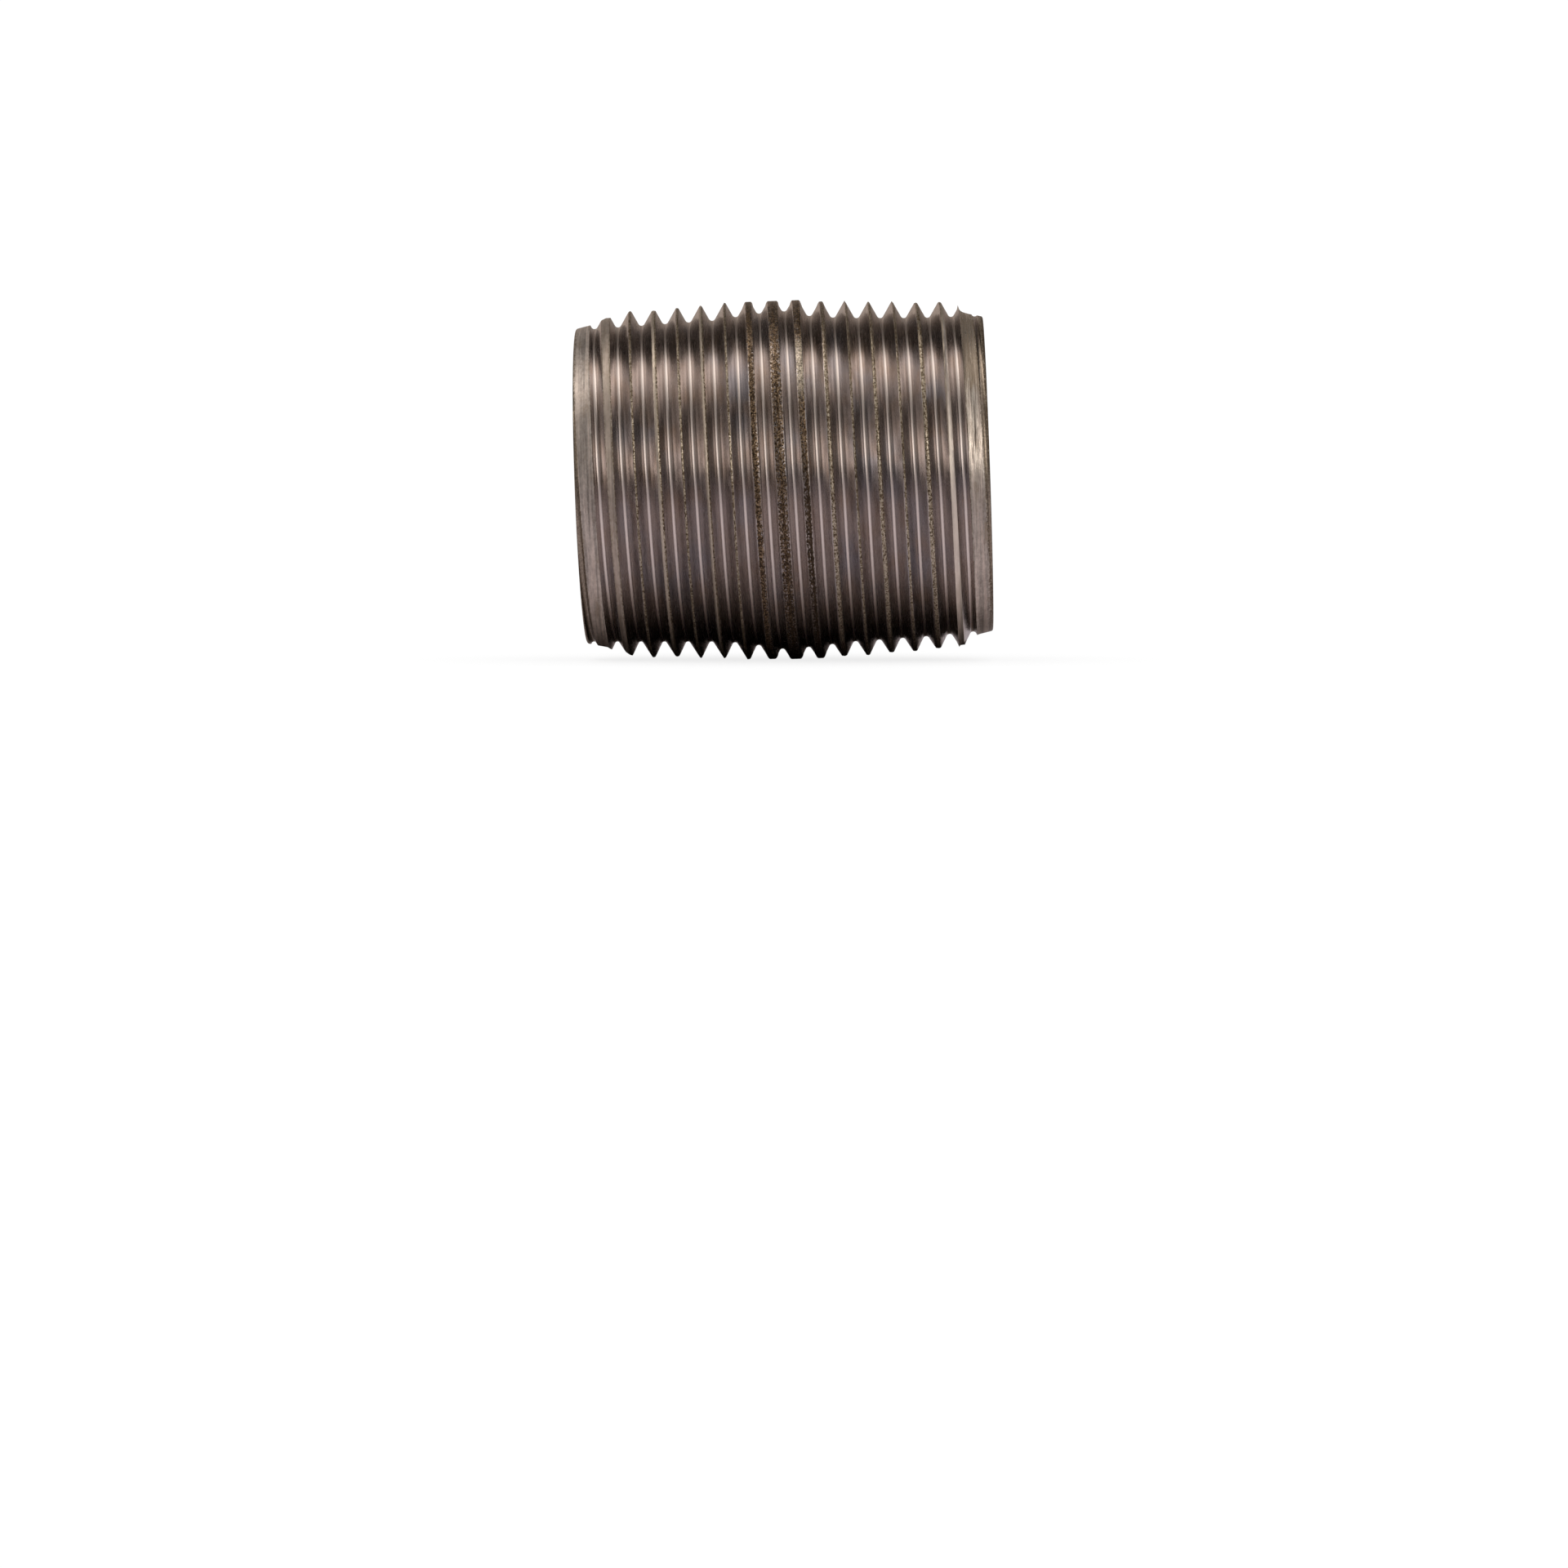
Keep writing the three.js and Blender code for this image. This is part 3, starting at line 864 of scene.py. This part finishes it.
def floor_material(material):
    """Painted shadow and light in the floor's colour, as the steel sees it: dark under the nipple,
    brightest just beside it and dimmer further off.
    The camera sees it white, with a faint shadow."""
    n = Nodes(material)
    _, along, across, _ = n.point()
    past_end = n.math("SUBTRACT", n.math("ABSOLUTE", along), HALF_LENGTH - SHADE_STOPS_SHORT)
    past_end = n.math("MULTIPLY", n.math("MAXIMUM", past_end, 0), END_FALL)
    squares = [n.math("MULTIPLY", part, part) for part in (past_end, across)]
    away = n.math("SQRT", n.math("ADD", *squares))
    # Painted shadow under the nipple and painted light beside it, for every ray but the camera's.
    bounce = n.fade(away, SHADED_WITHIN, BRIGHT_FROM, SHADED, BRIGHT)
    bounce = n.math("MULTIPLY", bounce, n.fade(away, BRIGHT_TO, DIM_FROM, 1.0, DIM_SHARE))
    tint = n.mix(n.fade(away, SHADED_WITHIN, BRIGHT_FROM), SHADE_TINT, FLOOR_TINT)
    bounced = n.add("ShaderNodeBsdfDiffuse", {"Color": n.scaled(tint, bounce)})
    seen = n.add("ShaderNodeBsdfDiffuse", {"Color": FLOOR_WHITE})
    glow = n.add("ShaderNodeEmission", {"Color": (1, 1, 1, 1), "Strength": FLOOR_GLOW})
    seen = n.add("ShaderNodeMixShader", {0: GLOW_SHARE, 1: seen, 2: glow})
    camera_ray = n.add("ShaderNodeLightPath", {}, output="Is Camera Ray")
    shader = n.add("ShaderNodeMixShader", {0: camera_ray, 1: bounced, 2: seen})
    n.add("ShaderNodeOutputMaterial", {"Surface": shader})


# The floor leans with the nipple, which lies on one of its two tapered threads.
lowest = min(up.dot(vertex.co) for vertex in threaded.vertices)
reach = FLOOR_REACH * MM
corners = [(-reach, -reach, 0), (reach, -reach, 0), (reach, reach, 0), (-reach, reach, 0)]
floor_mesh = bpy.data.meshes.new("floor")
floor_mesh.from_pydata(corners, [], [(0, 1, 2, 3)])
floor_mesh.materials.append(bpy.data.materials.new("pale_floor"))
floor_material(floor_mesh.materials[0])
floor = bpy.data.objects.new("floor", floor_mesh)
floor.matrix_world = placed(up * (lowest - FLOOR_GAP * MM), (right, forward, up))
bpy.context.scene.collection.objects.link(floor)

# ---- Studio ------------------------------------------------------------------------------------------

# What the steel reflects, as brightness by the angle up from the camera's side and over the top: a front
# soft box at 20 degrees, rather to the right, an overhead one at 90, rather to the left, and a backdrop.
STUDIO = [
    (0, 0.07),
    (7, 0.20),
    (15, 0.76),
    (26, 0.80),
    (36, 0.38),
    (47, 0.14),
    (58, 0.26),
    (72, 1.0),
    (86, 2.0),
    (97, 1.85),
    (108, 0.12),
    (122, 0.02),
    (142, 0.12),
    (160, 0.40),
    (180, 0.40),
]
BRIGHTEST = 2.0
OVERHEAD_FROM = (52, 64)  # degrees over which the front soft box gives way to the overhead one
ACROSS = (-0.35, 0.35)  # from left to right, as the X of a direction
FRONT_BOX = (0.45, 1.65)  # how bright the front box is at the left and at the right
FRONT_BOX_END = (0.22, 0.50)  # X over which it gets twice as bright again
OVERHEAD_BOX = (1.22, 0.60)  # how bright the overhead box is at the left and at the right
WARM_UP_TO = 100  # degrees
WARM_LIGHT = (1.0, 0.92, 0.86)
BROWN_LIGHT = (1.0, 0.82, 0.70)
WALL_LIGHT = 0.5
WALLS_FROM = (0.75, 0.97)  # X of a direction over which the walls beside the boxes begin
ROOM_LIGHT = (1.06, 1.06, 1.06, 1)  # what everything but the steel's reflections sees


def studio_world(world):
    """The soft boxes are seen by glossy rays only. All other light is an even white."""
    world.cycles.sampling_method = "NONE"
    n = Nodes(world)
    aside, back, high = n.split(n.add("ShaderNodeTexCoord", {}, output="Generated"))
    over = n.math("ARCTAN2", high, n.math("MULTIPLY", back, -1))
    ramp = n.tree.nodes.new("ShaderNodeValToRGB")
    n.tree.links.new(n.math("DIVIDE", over, math.pi), ramp.inputs[0])
    ramp.color_ramp.interpolation = "EASE"
    stops = ramp.color_ramp.elements
    while len(stops) < len(STUDIO):
        stops.new(0.5)
    for stop, (degrees, _) in zip(stops, STUDIO, strict=True):
        stop.position = degrees / 180
    for stop, (degrees, brightness) in zip(stops, STUDIO, strict=True):
        light = WARM_LIGHT if degrees < WARM_UP_TO else BROWN_LIGHT
        stop.color = [*(part * brightness / BRIGHTEST for part in light), 1]
    front_box = n.fade(aside, *ACROSS, *FRONT_BOX)
    front_box = n.math("MULTIPLY", front_box, n.fade(aside, *FRONT_BOX_END, 1.0, 2.0))
    overhead_box = n.fade(aside, *ACROSS, *OVERHEAD_BOX)
    overhead = n.fade(over, *(math.radians(degrees) for degrees in OVERHEAD_FROM))
    room = n.scaled(ramp.outputs[0], n.mix_value(overhead, front_box, overhead_box))
    walls = [WALL_LIGHT * part / BRIGHTEST for part in WARM_LIGHT]
    room = n.mix(n.fade(n.math("ABSOLUTE", aside), *WALLS_FROM), room, (*walls, 1))
    room = n.scaled(room, BRIGHTEST)
    glossy = n.add("ShaderNodeLightPath", {}, output="Is Glossy Ray")
    background = n.add("ShaderNodeBackground", {"Color": n.mix(glossy, ROOM_LIGHT, room)})
    n.add("ShaderNodeOutputWorld", {"Surface": background})


bpy.context.scene.world = bpy.data.worlds.new("studio")
studio_world(bpy.context.scene.world)
